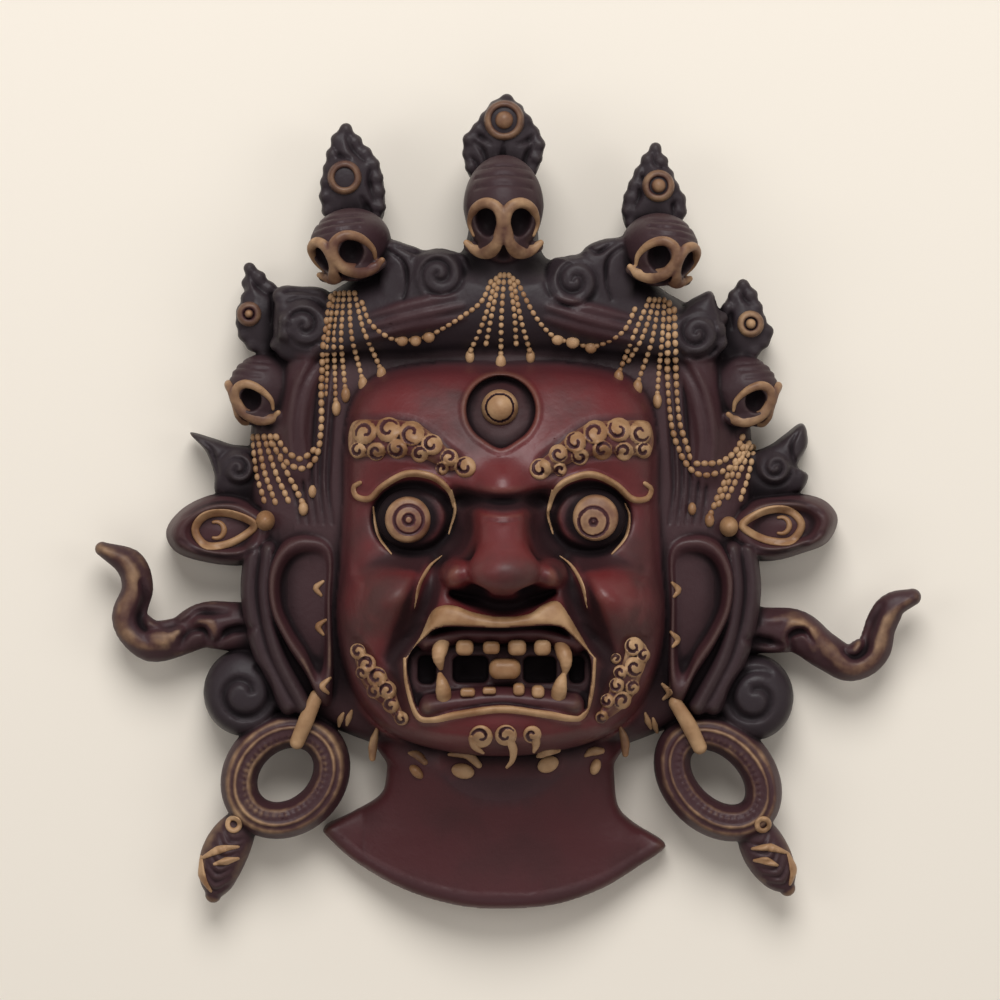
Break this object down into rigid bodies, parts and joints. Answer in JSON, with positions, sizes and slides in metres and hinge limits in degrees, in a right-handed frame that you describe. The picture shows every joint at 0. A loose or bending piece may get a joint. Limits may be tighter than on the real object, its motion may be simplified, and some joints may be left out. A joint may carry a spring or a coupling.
{
  "type": "wall mask",
  "caption": "Cast wall mask: a wrathful three-eyed face with bared teeth under a crown of skulls, with bead strings, hoop earrings, scarf ends and a flared neck; hollow behind.",
  "frame": {"origin": "under the middle of the mask's box, on the plane that its flat back rests on", "axes": "+Z out of the face, +Y towards the crown, +X towards the scarf end on the viewer's right"},
  "size_m": [0.248, 0.2452, 0.0755],
  "materials": {
    "resin": "satin, stained dark red-brown, with darker recesses and bone-coloured raised details"
  },
  "bodies": {
    "root": {"mask": "resin"}
  },
  "joints": []
}
